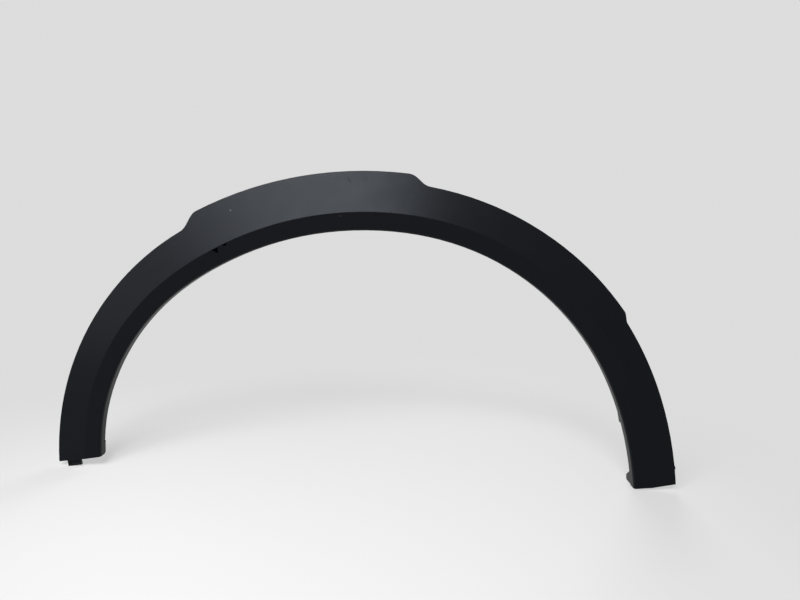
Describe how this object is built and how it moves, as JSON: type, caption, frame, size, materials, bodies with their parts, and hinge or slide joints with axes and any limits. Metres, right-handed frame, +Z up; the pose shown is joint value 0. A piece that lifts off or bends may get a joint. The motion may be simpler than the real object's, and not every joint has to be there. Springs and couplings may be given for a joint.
{
  "type": "wheel arch trim",
  "caption": "Arched plastic trim with a flared face, a crease and a return flange, clipped to a car body around a wheel opening.",
  "frame": {"origin": "crown locating peg, on the plane where the rim meets the car body", "axes": "+X to the right seen from the front, +Y back into the car body, +Z up"},
  "size_m": [0.9431, 0.048, 0.4615],
  "materials": {
    "arch_trim": "satin, fine moulded grain, charcoal black",
    "retaining_clips": "natural nylon, semi-matt"
  },
  "bodies": {
    "root": {"arch_trim": "arch_trim", "retaining_clips": "retaining_clips"}
  },
  "joints": []
}
